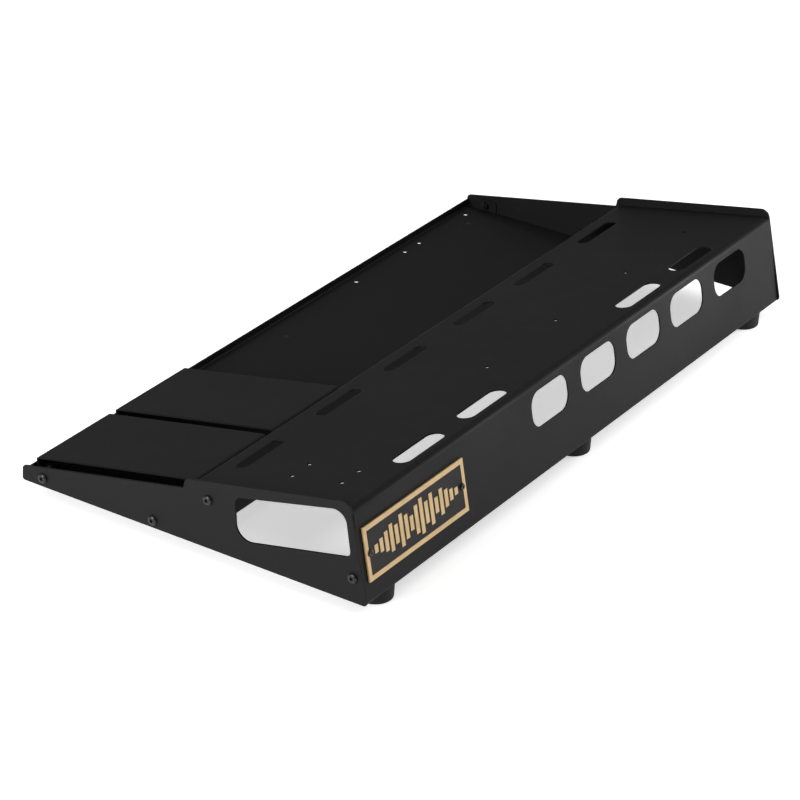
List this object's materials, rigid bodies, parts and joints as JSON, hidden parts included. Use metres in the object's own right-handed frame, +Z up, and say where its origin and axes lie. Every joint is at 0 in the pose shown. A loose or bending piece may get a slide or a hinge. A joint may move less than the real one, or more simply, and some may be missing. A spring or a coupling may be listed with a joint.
{
  "type": "pedalboard",
  "caption": "Two-level folded metal pedalboard with low front tray, sloped slotted upper deck, riser bridges, end panels, cable windows and rubber feet.",
  "frame": {"origin": "centre of the footprint, on the floor under the feet", "axes": "+X along the width, +Y towards the raised back, +Z up from the floor"},
  "size_m": [0.7676, 0.3811, 0.1108],
  "materials": {
    "powder_coat": "fine-texture satin black powder coat",
    "black_screw": "black oxide steel",
    "plated_steel": "zinc plated",
    "badge": "satin dark field with a gold border",
    "rubber": "matt"
  },
  "bodies": {
    "root": {"main_deck": "powder_coat", "side_panel_right": "powder_coat", "side_panel_left": "powder_coat", "riser_outer": "powder_coat", "riser_inner": "powder_coat", "badge_plate": "badge", "badge_screws": "black_screw", "badge_nuts": "plated_steel", "side_screws_right": "black_screw", "side_screws_left": "black_screw", "side_nuts_right": "black_screw", "side_nuts_left": "black_screw", "riser_screws_outer": "black_screw", "riser_screws_inner": "black_screw", "riser_nuts_outer": "plated_steel", "riser_nuts_inner": "plated_steel", "foot_screws": "black_screw", "foot_washers": "plated_steel", "foot_front_left": "rubber", "foot_front_middle": "rubber", "foot_front_right": "rubber", "foot_rear_left": "rubber", "foot_rear_middle": "rubber", "foot_rear_right": "rubber"}
  },
  "joints": []
}
